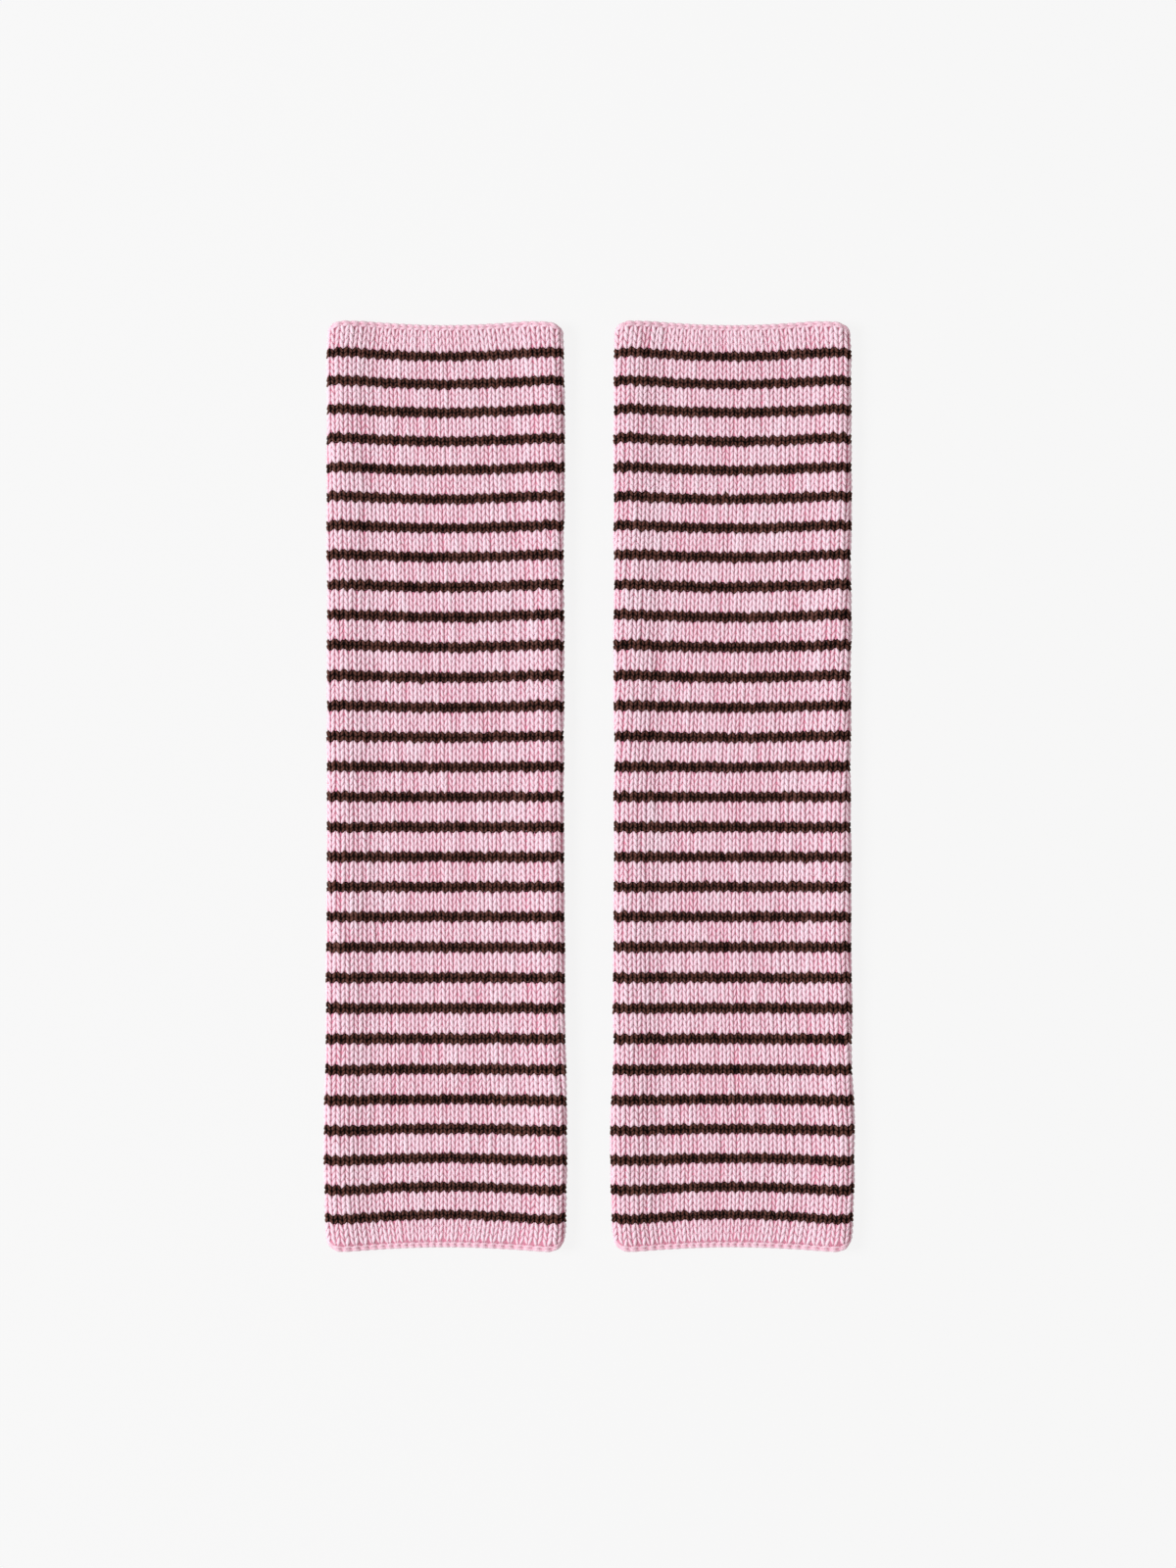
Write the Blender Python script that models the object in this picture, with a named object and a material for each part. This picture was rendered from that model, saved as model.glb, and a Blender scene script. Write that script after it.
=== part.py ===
# A pair of striped knitted arm warmers, laid flat side by side. Each is a seamless tube of
# knitted fabric, open at both ends, with a worked edge round each opening.
# Metres. X runs across the pair, Y along the sleeves to the upper arm, Z up from the table.
import math
from collections import namedtuple

import bmesh
import bpy
from mathutils import Vector

# Driving dimensions
SLEEVE_LENGTH = 0.3710
SLEEVE_SPACING = 0.1143  # between the middle lines of the two sleeves
WALL = 0.0026  # thickness of the knitted fabric
LAYER_GAP = 0.0004  # between the two layers in the middle of a sleeve
FOLD_RADIUS = 0.0024  # of the fabric's middle surface round a side fold
SWELL_WIDTH = 0.014  # over which the upper layer rises to a side fold
EDGE_HEIGHT = 0.0030  # of the worked edge round an opening
SEAM_GAP = 0.0003  # between the fabric and its worked edge
DIP_REACH = 0.0420  # rows are bent by their dip as far as this from the middle line
DROOP_REACH = 0.0062  # rows droop round a side fold from this far inside it

# The rows' shape along a sleeve: how wide it lies, how far its rows sag in the middle, and
# how far they droop at the side folds. Below zero they rise instead.
Section = namedtuple("Section", "height half_width dip droop")
SECTIONS = (
    Section(height=0.0000, half_width=0.0474, dip=-0.0020, droop=-0.0042),
    Section(height=0.0030, half_width=0.0478, dip=-0.0019, droop=-0.0026),
    Section(height=0.0060, half_width=0.0481, dip=-0.0018, droop=-0.0016),
    Section(height=0.0120, half_width=0.0485, dip=-0.0017, droop=-0.0009),
    Section(height=0.0300, half_width=0.0489, dip=-0.0011, droop=-0.0004),
    Section(height=0.0500, half_width=0.0489, dip=-0.0006, droop=-0.0002),
    Section(height=0.0800, half_width=0.0481, dip=0.0000, droop=0.0000),
    Section(height=0.1300, half_width=0.0477, dip=0.0000, droop=0.0000),
    Section(height=0.1750, half_width=0.0475, dip=0.0000, droop=0.0000),
    Section(height=0.2300, half_width=0.0477, dip=0.0009, droop=0.0001),
    Section(height=0.2900, half_width=0.0477, dip=0.0011, droop=0.0002),
    Section(height=0.3300, half_width=0.0478, dip=0.0013, droop=0.0005),
    Section(height=0.3590, half_width=0.0477, dip=0.0017, droop=0.0008),
    Section(height=0.3650, half_width=0.0475, dip=0.0019, droop=0.0014),
    Section(height=0.3680, half_width=0.0474, dip=0.0020, droop=0.0022),
    Section(height=0.3710, half_width=0.0471, dip=0.0021, droop=0.0034),
)

# Steps round the flattened tube
LOWER_STEPS = 8
UPPER_STEPS = 16
FOLD_STEPS = 7
EDGE_STEPS = 6  # over the rounded crown of a worked edge

# Yarn colours as linear values
PINK = (0.80, 0.50, 0.60, 1.0)
PALE_PINK = (0.86, 0.58, 0.67, 1.0)
YARN_ROUGHNESS = 0.9


def clear_scene():
    for item in list(bpy.data.objects):
        bpy.data.objects.remove(item)


def yarn_material(name, colour):
    material = bpy.data.materials.new(name)
    material.use_nodes = True
    shader = material.node_tree.nodes["Principled BSDF"]
    shader.inputs["Base Color"].default_value = colour
    shader.inputs["Roughness"].default_value = YARN_ROUGHNESS
    shader.inputs["Metallic"].default_value = 0.0
    return material


def section_at(height):
    below = max((s for s in SECTIONS if s.height <= height), key=lambda s: s.height)
    above = min((s for s in SECTIONS if s.height >= height), key=lambda s: s.height)
    if above is below:
        return below
    share = (height - below.height) / (above.height - below.height)
    return Section(*(a + (b - a) * share for a, b in zip(below, above)))


# The upper layer's middle surface above a point x, and its slope there.
def upper_layer(x, turn_x):
    drop = 2 * FOLD_RADIUS - WALL - LAYER_GAP
    inside = min(max((turn_x - abs(x)) / SWELL_WIDTH, 0.0), 1.0)
    height = WALL / 2 + 2 * FOLD_RADIUS - drop * inside * inside * (3 - 2 * inside)
    slope = drop * 6 * inside * (1 - inside) / SWELL_WIDTH
    return height, math.copysign(slope, x)


# Points on the fabric's middle line round the flattened sleeve, each with its outward direction.
def fabric_path(half_width):
    turn_x = half_width - WALL / 2 - FOLD_RADIUS
    fold_z = WALL / 2 + FOLD_RADIUS
    path = []
    for i in range(LOWER_STEPS):
        x = turn_x * (2 * i / LOWER_STEPS - 1)
        path.append((Vector((x, 0, WALL / 2)), Vector((0, 0, -1))))
    for i in range(FOLD_STEPS):
        angle = math.pi * (i / FOLD_STEPS - 0.5)
        out = Vector((math.cos(angle), 0, math.sin(angle)))
        path.append((Vector((turn_x, 0, fold_z)) + FOLD_RADIUS * out, out))
    for i in range(UPPER_STEPS):
        x = turn_x * (1 - 2 * i / UPPER_STEPS)
        z, slope = upper_layer(x, turn_x)
        path.append((Vector((x, 0, z)), Vector((-slope, 0, 1)).normalized()))
    for i in range(FOLD_STEPS):
        angle = math.pi * (i / FOLD_STEPS + 0.5)
        out = Vector((math.cos(angle), 0, math.sin(angle)))
        path.append((Vector((-turn_x, 0, fold_z)) + FOLD_RADIUS * out, out))
    return path


# How far a row lies below its height at x, from its sag in the middle and its droop at the folds.
def row_drop(section, x):
    across = min(abs(x) / DIP_REACH, 1.0)
    inset = min(max((section.half_width - abs(x)) / DROOP_REACH, 0.0), 1.0)
    return section.dip * (1 - across * across) ** 1.5 + section.droop * (1 - inset) ** 2


# One closed ring of points round the sleeve, offset outward from the fabric's middle line.
def ring(height, offset):
    section = section_at(height)
    points = []
    for middle, out in fabric_path(section.half_width):
        point = middle + offset * out
        point.y = height - SLEEVE_LENGTH / 2 - row_drop(section, point.x)
        points.append(point)
    return points


# A closed solid through rings that follow one another and meet again at the first.
def ring_solid(name, rings, middle_x, material):
    shape = bmesh.new()
    loops = [[shape.verts.new(point) for point in points] for points in rings]
    for this, after in zip(loops, loops[1:] + loops[:1]):
        for i, vert in enumerate(this):
            j = (i + 1) % len(this)
            shape.faces.new((vert, this[j], after[j], after[i]))
    bmesh.ops.recalc_face_normals(shape, faces=shape.faces)
    mesh = bpy.data.meshes.new(name)
    shape.to_mesh(mesh)
    shape.free()
    mesh.materials.append(material)
    mesh.shade_smooth()
    mesh.set_sharp_from_angle(angle=math.radians(50))
    piece = bpy.data.objects.new(name, mesh)
    piece.location.x = middle_x
    bpy.context.scene.collection.objects.link(piece)
    return piece


# The seamless tube: outer rings from the lower edge to the upper, then inner rings back.
def fabric_tube(name, middle_x, material):
    lowest = EDGE_HEIGHT + SEAM_GAP
    highest = SLEEVE_LENGTH - EDGE_HEIGHT - SEAM_GAP
    between = [s.height for s in SECTIONS if lowest + SEAM_GAP < s.height < highest - SEAM_GAP]
    heights = [lowest] + between + [highest]
    outer = [ring(height, WALL / 2) for height in heights]
    inner = [ring(height, -WALL / 2) for height in reversed(heights)]
    return ring_solid(name, outer + inner, middle_x, material)


# A worked edge: a band as thick as the fabric, flat where it meets it and rounded at the rim.
def worked_edge(name, rim, root, middle_x, material):
    rings = []
    for i in range(EDGE_STEPS + 1):
        angle = math.pi * i / EDGE_STEPS
        share = math.sqrt(math.sin(angle)) if 0 < i < EDGE_STEPS else 0.0
        rings.append(ring(root + (rim - root) * share, WALL / 2 * math.cos(angle)))
    return ring_solid(name, rings, middle_x, material)


def arm_warmer(side, middle_x, fabric, edge):
    fabric_tube(f"{side}_tube", middle_x, fabric)
    worked_edge(f"{side}_cast_on_edge", 0.0, EDGE_HEIGHT, middle_x, edge)
    rim = SLEEVE_LENGTH
    worked_edge(f"{side}_bind_off_edge", rim, rim - EDGE_HEIGHT, middle_x, edge)


clear_scene()
pink_fabric = yarn_material("pink_knit", PINK)
pale_edge = yarn_material("pale_pink_edge", PALE_PINK)
arm_warmer("left", -SLEEVE_SPACING / 2, pink_fabric, pale_edge)
arm_warmer("right", SLEEVE_SPACING / 2, pink_fabric, pale_edge)
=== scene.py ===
import math

import bpy
import numpy as np
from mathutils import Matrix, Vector


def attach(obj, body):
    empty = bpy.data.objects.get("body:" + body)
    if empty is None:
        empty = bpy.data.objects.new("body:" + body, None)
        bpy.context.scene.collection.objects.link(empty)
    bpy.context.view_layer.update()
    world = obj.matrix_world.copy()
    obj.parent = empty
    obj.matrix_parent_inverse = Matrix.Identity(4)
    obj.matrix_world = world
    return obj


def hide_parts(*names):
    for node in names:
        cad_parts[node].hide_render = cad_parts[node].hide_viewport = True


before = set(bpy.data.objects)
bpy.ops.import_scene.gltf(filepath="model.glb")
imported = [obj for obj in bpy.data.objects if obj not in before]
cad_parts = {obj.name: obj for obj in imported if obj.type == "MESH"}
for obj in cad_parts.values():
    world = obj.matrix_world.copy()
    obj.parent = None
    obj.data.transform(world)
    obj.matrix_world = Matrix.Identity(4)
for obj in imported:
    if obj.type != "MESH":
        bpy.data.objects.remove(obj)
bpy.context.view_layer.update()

# a pair of striped knitted arm warmers, laid flat side by side, in metres: x across the pair,
# y along the sleeves, z up. A sleeve lies much as in the frame, but its folds are flatter and
# its lowest rows rise a little less in the middle
sleeve = {
    "length": 0.3710,
    "spacing": 0.1143,  # between the middle lines of the two sleeves
    "wall": 0.0026,
    "layerGap": 0.0004,  # between upper and lower layer in the middle
    "foldRadius": 0.0024,  # of a side fold upwards, from its centre
    "foldWidth": 0.0044,  # and sideways
    "foldMarks": 49,  # along the turn of a fold
    "swellWidth": 0.016,  # over which the upper layer rises to a side fold
    "dipReach": 0.0420,  # rows sag as far as this from the middle line
    "usualHalfWidth": 0.0477,
    "sections": [  # dip: how far the rows sag in the middle; droop: how far they fall at the folds
        {"height": 0.0000, "halfWidth": 0.0474, "dip": -0.0017, "droop": -0.0042},
        {"height": 0.0030, "halfWidth": 0.0478, "dip": -0.0017, "droop": -0.0026},
        {"height": 0.0060, "halfWidth": 0.0481, "dip": -0.0018, "droop": -0.0016},
        {"height": 0.0120, "halfWidth": 0.0485, "dip": -0.0017, "droop": -0.0009},
        {"height": 0.0300, "halfWidth": 0.0489, "dip": -0.0011, "droop": -0.0004},
        {"height": 0.0500, "halfWidth": 0.0489, "dip": -0.0006, "droop": -0.0002},
        {"height": 0.0800, "halfWidth": 0.0481, "dip": 0.0000, "droop": 0.0000},
        {"height": 0.1300, "halfWidth": 0.0477, "dip": 0.0000, "droop": 0.0000},
        {"height": 0.1750, "halfWidth": 0.0475, "dip": 0.0000, "droop": 0.0000},
        {"height": 0.2300, "halfWidth": 0.0477, "dip": 0.0009, "droop": 0.0001},
        {"height": 0.2900, "halfWidth": 0.0477, "dip": 0.0011, "droop": 0.0002},
        {"height": 0.3300, "halfWidth": 0.0478, "dip": 0.0013, "droop": 0.0005},
        {"height": 0.3590, "halfWidth": 0.0477, "dip": 0.0017, "droop": 0.0008},
        {"height": 0.3650, "halfWidth": 0.0475, "dip": 0.0019, "droop": 0.0014},
        {"height": 0.3680, "halfWidth": 0.0474, "dip": 0.0020, "droop": 0.0022},
        {"height": 0.3710, "halfWidth": 0.0471, "dip": 0.0021, "droop": 0.0034},
    ],
}

# the knitting: stocking stitch in the round, each stitch drawn as a V of two legs
knit = {
    "wales": 58,  # stitches round a sleeve
    "rows": 153,
    "pinkRows": 3,  # in each pink band, those at the rims too
    "brownRows": 2,  # in a stripe
    "pinkPitch": 1.09,  # the pink yarn is thicker and its rows are taller than the brown ones
    "waleShift": 0.36,  # turns the wales round the sleeve, in stitches
    "crowding": 0.07,  # how much closer the wales stand in the middle than at the folds
    "gather": 0.10,  # how much more so at the rims
    "gatherRows": 8,
    "fineFrom": 26,  # stitches from here to the last are on the upper layer and its folds
    "yarnRadius": 0.00080,
    "yarnSides": 4,
    "loopDepth": 0.00050,
    "rowMarks": [  # where rows lie, the first one's foot and the last one's head included
        {"row": -1.5, "height": 0.0002},
        {"row": -0.5, "height": 0.0027},
        {"row": 2.5, "height": 0.0105},
        {"row": 4.5, "height": 0.0149},
        {"row": 11.0, "height": 0.0300},
        {"row": 23.5, "height": 0.0599},
        {"row": 38.5, "height": 0.0966},
        {"row": 53.5, "height": 0.1330},
        {"row": 68.5, "height": 0.1687},
        {"row": 83.5, "height": 0.2049},
        {"row": 98.5, "height": 0.2412},
        {"row": 113.5, "height": 0.2772},
        {"row": 128.5, "height": 0.3120},
        {"row": 141.0, "height": 0.3409},
        {"row": 147.5, "height": 0.3555},
        {"row": 149.5, "height": 0.3599},
        {"row": 152.5, "height": 0.3683},
        {"row": 153.5, "height": 0.3708},
    ],
    # across: share of a wale; up: rows; out: loop depths, 0 at an end; thick: yarn radii
    "fineStitch": [
        {"across": 0.420, "up": -0.66, "out": 0.0, "thick": 0.56},
        {"across": 0.310, "up": -0.25, "out": 0.9, "thick": 1.00},
        {"across": 0.190, "up": 0.25, "out": 0.9, "thick": 1.00},
        {"across": 0.080, "up": 0.66, "out": 0.0, "thick": 0.60},
        {"across": 0.920, "up": 0.66, "out": 0.0, "thick": 0.60},
        {"across": 0.810, "up": 0.25, "out": 0.9, "thick": 1.00},
        {"across": 0.690, "up": -0.25, "out": 0.9, "thick": 1.00},
        {"across": 0.580, "up": -0.66, "out": 0.0, "thick": 0.56},
    ],
    "plainStitch": [
        {"across": 0.43, "up": -0.64, "out": 0.45, "thick": 0.86},
        {"across": 0.11, "up": 0.64, "out": 0.45, "thick": 0.86},
        {"across": 0.89, "up": 0.64, "out": 0.45, "thick": 0.86},
        {"across": 0.57, "up": -0.64, "out": 0.45, "thick": 0.86},
    ],
    "uneven": {"across": 0.024, "up": 0.08, "out": 0.18, "thick": 0.07},
    "evenRows": {"across": 2.5, "up": 0.9, "out": 1.6, "thick": 1.0},  # over which they change
    "noiseReach": 12,  # rows either way that count for one that is made smooth
}

# how the legs of the two yarns differ, and their ends in a fine stitch. The pink ones are full
# to their ends. The brown ones dip in there, so that the line where brown rows meet is dark, in real
# shade and in painted shade, since their lower lift is painted darker
legs = {
    "pink": {"reach": 1.06, "fullness": 1.00, "endOut": 0.40, "endThick": 1.08},
    "brown": {"reach": 1.00, "fullness": 0.94, "endOut": -0.45, "endThick": 0.85},
}


def column(rows, name):
    return np.array([row[name] for row in rows])


def along(height, name):
    return np.interp(height, column(sleeve["sections"], "height"), column(sleeve["sections"], name))


def rowHeight(row):
    marks, pinks = knit["rowMarks"], knit["pinkRows"]
    every = pinks + knit["brownRows"]
    start = np.floor((row + 0.5) / every) * every
    part = row + 0.5 - start
    brownPitch = (every - pinks * knit["pinkPitch"]) / (every - pinks)
    part = np.minimum(part, pinks) * knit["pinkPitch"] + np.maximum(part - pinks, 0) * brownPitch
    return np.interp(start + part - 0.5, column(marks, "row"), column(marks, "height"))


def stripeRow(row):
    return row % (knit["pinkRows"] + knit["brownRows"]) >= knit["pinkRows"]


def unit(vectors):
    return vectors / np.maximum(np.linalg.norm(vectors, axis=-1, keepdims=True), 1e-12)


# how far the fabric has gone round a side fold at each angle of its turn
def foldTurn():
    angle = np.linspace(-math.pi / 2, math.pi / 2, sleeve["foldMarks"])
    x, z = sleeve["foldWidth"] * np.cos(angle), sleeve["foldRadius"] * np.sin(angle)
    went = np.cumsum(np.hypot(np.diff(x), np.diff(z)))
    return np.concatenate([[0], went]), angle


# half the way round the middle of the fabric: across one layer, then round one side fold
def layerAndTurn(half):
    return 2 * (half - sleeve["wall"] / 2 - sleeve["foldWidth"]), foldTurn()[0][-1]


# a place on the sleeve: height above the lower rim, share of the way round, distance out from
# the middle of the fabric. The way round goes over the lower layer, then back over the upper one
def onFabric(height, share, out, middleX):
    half, wide, tall = along(height, "halfWidth"), sleeve["foldWidth"], sleeve["foldRadius"]
    turned, turnAngles = foldTurn()
    flat, bend = layerAndTurn(half)
    went = (share % 1) * 2 * (flat + bend)
    upper = went >= flat + bend
    went = np.where(upper, went - flat - bend, went)
    side = np.where(upper, -1.0, 1.0)
    angle = np.interp(went - flat, turned, turnAngles) + np.where(upper, math.pi, 0)
    x = side * (np.minimum(went, flat) - flat / 2)
    drop = 2 * tall - sleeve["wall"] - sleeve["layerGap"]  # from a fold's top to the middle
    inside = np.where(upper, np.clip((flat / 2 - np.abs(x)) / sleeve["swellWidth"], 0, 1), 0)
    slope = drop * 6 * inside * (1 - inside) / sleeve["swellWidth"] * np.sign(x)
    outX, outZ = np.cos(angle) * tall / wide - slope, np.sin(angle)
    size = np.hypot(outX, outZ)
    outX, outZ = outX / size, outZ / size
    z = sleeve["wall"] / 2 + tall + tall * np.sin(angle) - drop * inside**2 * (3 - 2 * inside)
    x = x + wide * np.cos(angle) + out * outX
    z = z + out * outZ
    y = height - sleeve["length"] / 2 - rowDrop(height, half, x)
    outward = np.stack([outX, np.zeros_like(outX), outZ], -1)
    return np.stack([x + middleX, y, z], -1), outward


# the corners of a rim are rounder than in the frame's form, and the upper ones lean as well
corner = {
    "inset": 0.0010,  # from the outline to where the yarn of a fold is widest
    "reach": 0.0058,
    "depth": 1.12,  # times the droop
    "roundness": 0.96,  # at 1 a corner would end upright
    "lean": (0.050, 0.100),  # of the upper corners on the left and right
    "leanReach": 0.0154,
    "leanFade": 0.012,
}


# how far a row lies below its height at x, from its sag, its droop and the lean of its corners
def rowDrop(height, half, x):
    across = np.minimum(np.abs(x) / sleeve["dipReach"], 1)
    inset = half - np.abs(x)
    turn = 1 - np.clip((inset - corner["inset"]) / corner["reach"], 0, 1)
    drop = along(height, "dip") * (1 - across**2) ** 1.5
    drop += along(height, "droop") * corner["depth"] * (1 - np.sqrt(1 - corner["roundness"] * turn**2))
    toRim = np.clip(1 - (sleeve["length"] - height) / corner["leanFade"], 0, 1)
    lean = np.where(x < 0, *corner["lean"]) * toRim
    return drop + lean * np.clip(corner["leanReach"] - inset, 0, None)


# a mesh of tubes that each close on themselves, from points as (tubes, steps, sides, 3).
# Its lift, one value a point, tells its finish what stands out, which is painted lighter, and what
# lies between loops, which is painted in shade
def gridMesh(name, points, lift):
    rings, steps, sides = points.shape[:3]
    index = np.arange(rings * steps * sides).reshape(rings, steps, sides)
    ahead = np.roll(index, -1, 1)
    faces = np.stack([index, ahead, np.roll(ahead, -1, 2), np.roll(index, -1, 2)], -1)
    a, b, c = (points.reshape(-1, 3)[faces.reshape(-1, 4)[:, i]] for i in (0, 1, 2))
    if (np.cross(b - a, c - a) * a).sum() < 0:  # the faces look inward
        faces = faces[..., ::-1]
    faces = faces.reshape(-1, 4)
    mesh = bpy.data.meshes.new(name)
    mesh.vertices.add(points.size // 3)
    mesh.vertices.foreach_set("co", points.astype(np.float32).ravel())
    mesh.loops.add(faces.size)
    mesh.loops.foreach_set("vertex_index", faces.astype(np.int32).ravel())
    mesh.polygons.add(len(faces))
    mesh.polygons.foreach_set("loop_start", np.arange(0, faces.size, 4, dtype=np.int32))
    mesh.update(calc_edges=True)
    mesh.shade_smooth()
    values = mesh.attributes.new("lift", "FLOAT", "POINT").data
    values.foreach_set("value", lift.astype(np.float32).ravel())
    bakeMap(mesh, rings, steps, sides, faces)
    piece = bpy.data.objects.new(name, mesh)
    bpy.context.scene.collection.objects.link(piece)
    return piece


# shares left free round the whole map and on either side of a strip
bakeEdge = {"map": 0.002, "strip": 0.06}


# a map with a strip for each ring of yarn, so that its colours bake at an even size
def bakeMap(mesh, rings, steps, sides, faces):
    ring, step, side = np.unravel_index(faces, (rings, steps, sides))
    step = np.where(step.max(1, keepdims=True) - step > steps / 2, step + steps, step)
    side = np.where(side.max(1, keepdims=True) - side > sides / 2, side + sides, side)
    whole, strip = 1 - 2 * bakeEdge["map"], 1 - 2 * bakeEdge["strip"]
    u = bakeEdge["map"] + whole * step / steps
    v = bakeEdge["map"] + whole * (ring + bakeEdge["strip"] + strip * side / sides) / rings
    layer = mesh.uv_layers.new(name="OFBake")
    layer.uv.foreach_set("vector", np.stack([u, v], -1).astype(np.float32).ravel())


# yarn along closed paths: paths and outward directions are (rings, steps, 3)
def yarn(name, paths, outward, thick, out, sides, shown=1.0, pale=0.0):
    step = np.roll(paths, -1, 1) - paths
    step /= np.linalg.norm(step, axis=-1, keepdims=True) ** 3  # a near neighbour counts for more
    ahead = unit(step + np.roll(step, 1, 1))
    across = unit(np.cross(ahead, outward))
    up = np.cross(across, ahead)
    angle = np.arange(sides) * 2 * math.pi / sides
    ring = np.cos(angle)[:, None] * up[:, :, None] + np.sin(angle)[:, None] * across[:, :, None]
    points = paths[:, :, None] + thick[:, :, None, None] * ring
    # how far out each point lies; its finish paints highlight where it is high and shade where it is
    # low, and pale raises it all
    lift = out[:, :, None] + thick[:, :, None] * np.cos(angle)
    return gridMesh(name, points, pale + lift * shown / (sleeve["wall"] / 2))


# smooth random unevenness, one value for each half stitch of each row
def unevenness(seed, smoothRows):
    reach, rows = knit["noiseReach"], knit["rows"]
    noise = np.random.default_rng(seed).normal(size=(rows + 2 * reach, knit["wales"] * 2))
    kernel = np.exp(-0.5 * (np.arange(-reach, reach + 1) / smoothRows) ** 2)
    smooth = sum(k * noise[i : i + rows] for i, k in enumerate(kernel))
    return smooth / np.sqrt((kernel**2).sum())


# how far the wales have wandered round a sleeve at a row, in stitches, from the lower rim up
wander = {
    "left": [(0, -0.45), (20, -0.30), (60, -0.10), (110, 0.05), (135, 0.45), (153, 0.70)],
    "right": [(0, 0.55), (15, 0.35), (50, 0.95), (75, 0.80), (100, -0.10), (125, -0.75),
              (153, -0.95)],
}


# the share of the way round where a stitch of a row lies
def wayRound(stitch, row, side):
    marks = np.array(wander[side])
    share = (stitch + knit["waleShift"] + np.interp(row, marks[:, 0], marks[:, 1])) / knit["wales"]
    toRim = np.minimum(row + 1, knit["rows"] - row) / knit["gatherRows"]
    crowding = knit["crowding"] + knit["gather"] * np.clip(1 - toRim, 0, 1) ** 2
    return share + crowding * np.sin(4 * math.pi * share) / (4 * math.pi)


# the rows of one yarn: each row is one closed round of loops
def knittedRows(name, rows, side, middleX, seed, leg):
    across, up, out, thick, halfStitch = [], [], [], [], []
    for stitch in range(knit["wales"]):
        fine = stitch >= knit["fineFrom"]
        for point in knit["fineStitch"] if fine else knit["plainStitch"]:
            atEnd = fine and point["out"] == 0
            across.append(stitch + point["across"])
            up.append(point["up"])
            out.append(leg["endOut"] if atEnd else point["out"])
            thick.append(point["thick"] * (leg["endThick"] if atEnd else 1))
            halfStitch.append(2 * stitch + (point["across"] > 0.5))
    rows, halfStitch = np.array(rows)[:, None], np.array(halfStitch)
    uneven = knit["uneven"]
    noise = {what: unevenness(seed + i, smoothRows)[rows, halfStitch]
             for i, (what, smoothRows) in enumerate(knit["evenRows"].items())}
    up = rows + leg["reach"] * np.array(up) + uneven["up"] * noise["up"]
    share = wayRound(np.array(across) + uneven["across"] * noise["across"], up, side)
    out = knit["loopDepth"] * (np.array(out) + uneven["out"] * (noise["out"] - 1))
    thick = knit["yarnRadius"] * leg["fullness"] * (np.array(thick) + uneven["thick"] * noise["thick"])
    thick = thick * (1 + knit["crowding"] * np.cos(4 * math.pi * share))  # wide wales, full yarn
    paths, outward = onFabric(rowHeight(up), share, out, middleX)
    return yarn(name, paths, outward, thick, out, knit["yarnSides"])


# the thin ground under the loops, where their heads and feet lie together, painted in shade where it
# shows between them. Inside, near the openings, it has the ridges of the purl side
ground = {
    "outside": 0.00015,  # its two faces, out from the middle of the fabric
    "inside": -0.0011,
    "stepsRound": 96,
    "finerAtFolds": 0.6,  # how much closer they stand at the side folds
    "clearOfRim": 0.0009,
    "ridge": 0.00022,
    "ridgedRows": 9,
    # lifts of the ground, which set its painted shade: low outside, so the gaps between loops are
    # painted dark, higher inside
    "outsideLift": -0.06,
    "lowerRim": (0.00048, 0.15),  # outside and its lift there, so it gets less painted shade
    "insideLift": 0.42,
    "ridgeLift": -800.0,  # for each metre that a ridge stands in, so a ridge is painted in deeper shade
}


def purlRidges(first, step):
    rows = first + step * np.arange(ground["ridgedRows"] * 2) / 2
    rise = ground["ridge"] * np.cos(2 * math.pi * (rows - first))
    return [(rowHeight(row), ground["inside"] - r, ground["insideLift"] + ground["ridgeLift"] * r)
            for row, r in zip(rows, rise)]


def knittedGround(name, middleX, pinkFinish, brownFinish):
    last = knit["rows"] - 1
    changes = [row - 0.5 for row in range(1, last) if stripeRow(row) != stripeRow(row - 1)]
    low, high = ground["clearOfRim"], sleeve["length"] - ground["clearOfRim"]
    heights = [low, *rowHeight(np.array(changes)), high]
    inner = [row for row in changes if ground["ridgedRows"] < row < last - ground["ridgedRows"]]
    profile = [(height, ground["outside"], ground["outsideLift"]) for height in heights]
    profile[0] = (low, *ground["lowerRim"])
    profile += [(high, ground["inside"], ground["insideLift"])]
    profile += purlRidges(last, -1)
    profile += [(rowHeight(row), ground["inside"], ground["insideLift"]) for row in inner[::-1]]
    profile += purlRidges(0, 1)[::-1]
    profile += [(low, ground["inside"], ground["insideLift"])]
    up, out, lift = (np.array(values)[:, None] for values in zip(*profile))
    layer, turn = layerAndTurn(sleeve["usualHalfWidth"])
    foldShare = turn / 2 / (2 * (layer + turn))  # from the middle of a side fold to its end
    share = np.arange(ground["stepsRound"])[None] / ground["stepsRound"]
    share = share - ground["finerAtFolds"] * np.sin(4 * math.pi * share) / (4 * math.pi) - foldShare
    up, out, lift, share = np.broadcast_arrays(up, out, lift, share)
    piece = gridMesh(name, onFabric(up, share, out, middleX)[0][None], lift[None])
    piece.data.materials.append(pinkFinish)
    piece.data.materials.append(brownFinish)
    middles = (up[:, 0] + np.roll(up[:, 0], -1)) / 2
    bands = np.repeat(np.digitize(middles, heights[1:-1]) % 2, ground["stepsRound"])
    piece.data.polygons.foreach_set("material_index", bands.astype(np.int32))
    return piece


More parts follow.
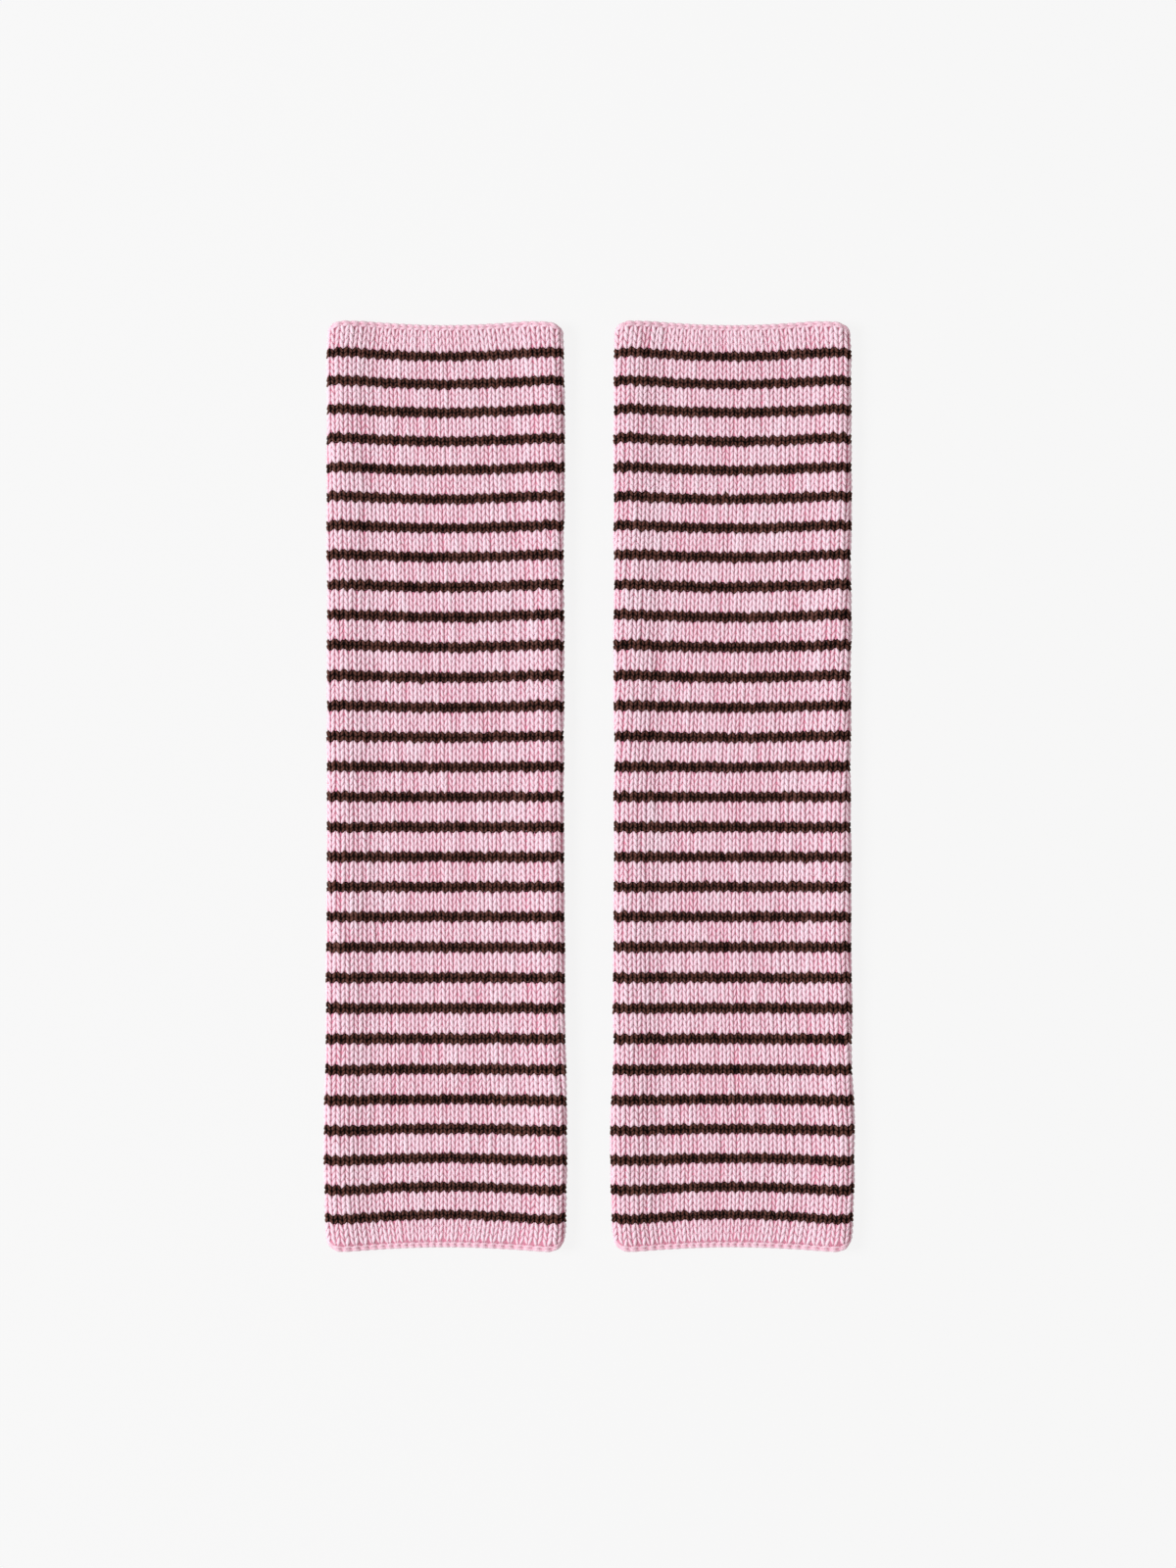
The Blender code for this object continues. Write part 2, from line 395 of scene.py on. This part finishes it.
# the chain round a rim: two strands side by side, each with a slanting link for every stitch
rim = {
    "strandRadius": 0.00068,
    "strandSides": 6,
    "thin": 0.80,  # times the radius at the ends of a link
    "fuller": 0.25,  # and how much more in its middle
    "fromRim": (0.00066, 0.00172),  # where the two strands run
    "slant": (0.00012, -0.00022),  # how far a link climbs toward the rim
    "out": 0.0001,
    "bulge": 0.00038,  # of a link out of the fabric, between its ends
    "uneven": 0.15,  # times the bulge
    "stepsPerStitch": 5,
    "seeds": (7, 8),  # of the lower and the upper chain, counted on from the sleeve's own
    "shown": 0.55,  # how much of its height counts for its painted highlight and shade
    # pale raises the chain's lift, so it is painted with less shade and more highlight
    "pale": 0.12,
}


def rimChain(name, atTop, side, middleX, seed):
    steps = knit["wales"] * rim["stepsPerStitch"]
    halfOn = np.array([[0.0], [0.5]])  # the second strand lies half a link further on
    at = np.arange(steps)[None] / rim["stepsPerStitch"] + halfOn
    link = at % 1
    belly = np.sin(math.pi * link)
    noise = np.random.default_rng(seed + rim["seeds"][atTop]).normal(size=at.shape)
    out = rim["bulge"] * (belly + rim["uneven"] * noise) + rim["out"]
    climb = np.cos(math.pi * link) * (1 if atTop else -1)
    down = np.array(rim["fromRim"])[:, None] + np.array(rim["slant"])[:, None] * climb
    up = sleeve["length"] - down if atTop else down
    share = wayRound(at, knit["rows"] if atTop else -1, side)
    paths, outward = onFabric(up, share, out, middleX)
    thick = rim["strandRadius"] * (rim["thin"] + rim["fuller"] * belly)
    return yarn(name, paths, outward, thick, out, rim["strandSides"], rim["shown"], rim["pale"])


# shader sockets with operators: an expression on them adds the Math nodes
class Wire:
    def __init__(self, tree, socket=None):
        self.tree, self.socket = tree, socket

    def node(self, kind, settings=None, values=None, output=0):
        made = self.tree.nodes.new("ShaderNode" + kind)
        for name, value in (settings or {}).items():
            setattr(made, name, value)
        for name, value in (values or {}).items():
            self.plug(made.inputs[name], value)
        return Wire(self.tree, made.outputs[output])

    def plug(self, socket, value):
        if isinstance(value, Wire):
            self.tree.links.new(value.socket, socket)
        else:
            socket.default_value = value

    def maths(self, operation, first, second):
        return self.node("Math", {"operation": operation}, {0: first, 1: second})

    def __add__(self, other):
        return self.maths("ADD", self, other)

    def __sub__(self, other):
        return self.maths("SUBTRACT", self, other)

    def __rsub__(self, other):
        return self.maths("SUBTRACT", other, self)

    def __mul__(self, other):
        return self.maths("MULTIPLY", self, other)

    def clamped(self):
        return self.node("Clamp", values={"Value": self})

    def colours(self, low, high):  # from one colour to another as this value goes from 0 to 1
        return self.node("Mix", {"data_type": "RGBA"}, {0: self, 6: low, 7: high}, output=2)


def colour(red, green, blue):  # from screen values, 0 to 255, to linear ones
    return (*(((v / 255 + 0.055) / 1.055) ** 2.4 if v > 10 else v / 255 / 12.92
              for v in (red, green, blue)), 1.0)


def newFinish(name):
    material = bpy.data.materials.new(name)
    material.use_nodes = True
    shader = material.node_tree.nodes["Principled BSDF"]
    return material, shader, Wire(material.node_tree)


# both yarns: a soft matt single, painted lighter on the crowns of its loops and painted in shade
# between them
yarns = {
    "pink": {
        "paintedShade": colour(224, 137, 164),
        "body": colour(246, 216, 229),
        "crown": colour(249, 230, 240),
        "crownFrom": 0.50,  # where on the loops the painted highlight begins, and how fast it does
        "crownShare": 0.8,
        "bodyFrom": 0.05,  # the same for the yarn's own colour above the painted shade
        "bodyShare": 1.5,
        "flecks": 3.2,
        "patches": 0.9,
        "fleckSize": 1500.0,
        "sheen": 0.35,
        "sheenTint": (1.0, 1.0, 1.0, 1.0),
        "shine": 0.15,
    },
    "brown": {
        "paintedShade": colour(8, 3, 2),
        "body": colour(90, 54, 46),
        "crown": colour(138, 101, 94),
        "crownFrom": 0.75,
        "crownShare": 0.9,
        "bodyFrom": 0.36,
        "bodyShare": 2.4,
        "flecks": 4.0,
        "patches": 0.8,
        "fleckSize": 2300.0,
        "sheen": 0.08,
        "sheenTint": (0.85, 0.50, 0.42, 1.0),
        "shine": 0.05,
    },
}

# what the two yarns share: noise for the fibres, and coarser noise for patches along the yarn
fibre = {
    "detail": 3.0,
    "coarse": 0.75,
    "patchScale": 260.0,
    "patchDetail": 2.0,
    "inHollows": 0.6,  # how much the fibres break up the edge of the painted shade
    "matt": 0.95,
    "lessMatt": 0.15,  # taken off where the noise is high
    "bump": 0.35,
    "bumpHeight": 0.0003,
    "sheenSpread": 0.5,
}


def yarnFinish(name, tone):
    material, shader, wire = newFinish(name)
    place = wire.node("TexCoord", output="Object")
    lift = wire.node("Attribute", {"attribute_name": "lift"}, output="Fac")
    fibres = wire.node("TexNoise", values={"Vector": place, "Scale": tone["fleckSize"],
                                           "Detail": fibre["detail"], "Roughness": fibre["coarse"]})
    patches = wire.node("TexNoise", values={"Vector": place, "Scale": fibre["patchScale"],
                                            "Detail": fibre["patchDetail"]})
    flecks = (fibres - 0.5) * tone["flecks"] + (patches - 0.5) * tone["patches"]
    # painted highlight on the crowns of the loops, where the lift is high, broken up by the fibres
    crown = ((lift - tone["crownFrom"]) * tone["crownShare"] + flecks).clamped()
    stirred = (fibres - 0.5) * fibre["inHollows"]
    outOfShade = ((lift - tone["bodyFrom"]) * tone["bodyShare"] + stirred).clamped()
    # the yarn's own colour, darkened to the painted shade where the lift is low, between the loops
    body = outOfShade.colours(tone["paintedShade"], tone["body"])
    wire.plug(shader.inputs["Base Color"], crown.colours(body, tone["crown"]))
    wire.plug(shader.inputs["Roughness"], fibre["matt"] - fibres * fibre["lessMatt"])
    bump = wire.node("Bump", values={"Height": fibres, "Strength": fibre["bump"],
                                     "Distance": fibre["bumpHeight"]})
    wire.plug(shader.inputs["Normal"], bump)
    shader.inputs["Sheen Weight"].default_value = tone["sheen"]
    shader.inputs["Sheen Tint"].default_value = tone["sheenTint"]
    shader.inputs["Sheen Roughness"].default_value = fibre["sheenSpread"]
    shader.inputs["Specular IOR Level"].default_value = tone["shine"]
    return material


def dress(piece, finish=None):
    if finish:
        piece.data.materials.append(finish)
    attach(piece, "root")
    return piece


def armWarmer(side, middleX, seed, pink, brown):
    pinkRows = [row for row in range(knit["rows"]) if not stripeRow(row)]
    brownRows = [row for row in range(knit["rows"]) if stripeRow(row)]
    half = len(pinkRows) // 2
    where = (side, middleX, seed)
    lower = knittedRows(side + "_pink_rows_lower", pinkRows[:half], *where, legs["pink"])
    upper = knittedRows(side + "_pink_rows_upper", pinkRows[half:], *where, legs["pink"])
    stripes = knittedRows(side + "_brown_stripes", brownRows, *where, legs["brown"])
    castOn = rimChain(side + "_cast_on_chain", False, *where)
    bindOff = rimChain(side + "_bind_off_chain", True, *where)
    base = knittedGround(side + "_knit_ground", middleX, pink, brown)
    dress(lower, pink)
    dress(upper, pink)
    dress(stripes, brown)
    dress(castOn, pink)
    dress(bindOff, pink)
    dress(base)
    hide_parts(side + "_tube")
    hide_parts(side + "_cast_on_edge")
    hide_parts(side + "_bind_off_edge")
    roundSize = 2 * sum(layerAndTurn(sleeve["usualHalfWidth"]))
    pieces = (lower, upper, stripes, castOn, bindOff, base)
    print(side, "sleeve knitted:", 2 * sum(len(p.data.polygons) for p in pieces), "triangles")


studio = {
    "floorSize": 12.0,
    "floorBelow": 0.0003,
    "floorColours": (colour(58, 58, 58), colour(63, 63, 63)),
    "floorGrain": 0.02,
    "grainScale": 40.0,
    "floorRoughness": 0.9,
    "floorGlow": 0.864,
    "skyStrength": 0.43,
    "skyColour": (1.0, 0.94, 0.89, 1.0),  # the shade is a little warmer than the light
    "lamps": [
        {"name": "keyLight", "place": (-3.75, 0.2, 3.25), "size": 2.2, "power": 208,
         "tint": (1.0, 1.02, 1.05)},
        {"name": "fillLight", "place": (-0.1, -0.2, 2.2), "size": 0.8, "power": 4,
         "tint": (1.0, 1.0, 1.0)},
    ],
}


def pane(name, size, z):
    corners = [(-size / 2, -size / 2, z), (size / 2, -size / 2, z),
               (size / 2, size / 2, z), (-size / 2, size / 2, z)]
    mesh = bpy.data.meshes.new(name)
    mesh.from_pydata(corners, [], [(0, 1, 2, 3)])
    piece = bpy.data.objects.new(name, mesh)
    bpy.context.scene.collection.objects.link(piece)
    return piece


# a round soft lamp that faces the sleeves
def softLight(name, place, size, power, tint):
    lamp = bpy.data.lights.new(name, "AREA")
    lamp.color = tint
    lamp.shape, lamp.size, lamp.energy = "DISK", size, power
    light = bpy.data.objects.new(name, lamp)
    light.location = place
    light.rotation_euler = (-Vector(place)).to_track_quat("-Z", "Y").to_euler()
    bpy.context.scene.collection.objects.link(light)


def lightStudio():
    floor = pane("floor", studio["floorSize"], -studio["floorBelow"])
    material, shader, wire = newFinish("palePaper")
    grain = wire.node("TexNoise", values={"Vector": wire.node("TexCoord", output="Object"),
                                          "Scale": studio["grainScale"]})
    tint = grain * studio["floorGrain"] + (1 - studio["floorGrain"] / 2)
    wire.plug(shader.inputs["Base Color"], tint.colours(*studio["floorColours"]))
    shader.inputs["Roughness"].default_value = studio["floorRoughness"]
    shader.inputs["Emission Color"].default_value = (1, 1, 1, 1)
    shader.inputs["Emission Strength"].default_value = studio["floorGlow"]
    floor.data.materials.append(material)
    world = bpy.data.worlds.new("studioSky")
    world.use_nodes = True
    sky = world.node_tree.nodes["Background"]
    sky.inputs["Color"].default_value = studio["skyColour"]
    sky.inputs["Strength"].default_value = studio["skyStrength"]
    bpy.context.scene.world = world
    for lamp in studio["lamps"]:
        softLight(**lamp)
    bpy.context.scene.view_settings.view_transform = "Standard"


# the camera looks straight down, as in the photograph
camera = {
    "lens": 100.0,
    "sensor": 36.0,
    "photoHeight": 1600,  # pixels
    "pixel": 0.00039,  # of the photograph, at the sleeves
    "aimPixel": (-1.0, 1.75),  # from the pair's middle to the photograph's, right and up
    "aimZ": 0.0056,  # about the height of the sleeves' upper side
}


def placeCamera():
    lens = bpy.data.cameras.new("camera")
    lens.lens, lens.sensor_width = camera["lens"], camera["sensor"]
    eye = bpy.data.objects.new("camera", lens)
    far = camera["photoHeight"] * camera["pixel"] * camera["lens"] / camera["sensor"]
    right, up = camera["aimPixel"]
    eye.location = (right * camera["pixel"], up * camera["pixel"], camera["aimZ"] + far)
    bpy.context.scene.collection.objects.link(eye)
    bpy.context.scene.camera = eye


placeCamera()
lightStudio()
print("studio ready")
pinkFinish = yarnFinish("pinkYarn", yarns["pink"])
brownFinish = yarnFinish("brownYarn", yarns["brown"])
pair = {  # the middle line of each sleeve, and the seed of its unevenness
    "left": (-sleeve["spacing"] / 2, 10),
    "right": (sleeve["spacing"] / 2, 40),
}
for side, (middleX, seed) in pair.items():
    armWarmer(side, middleX, seed, pinkFinish, brownFinish)
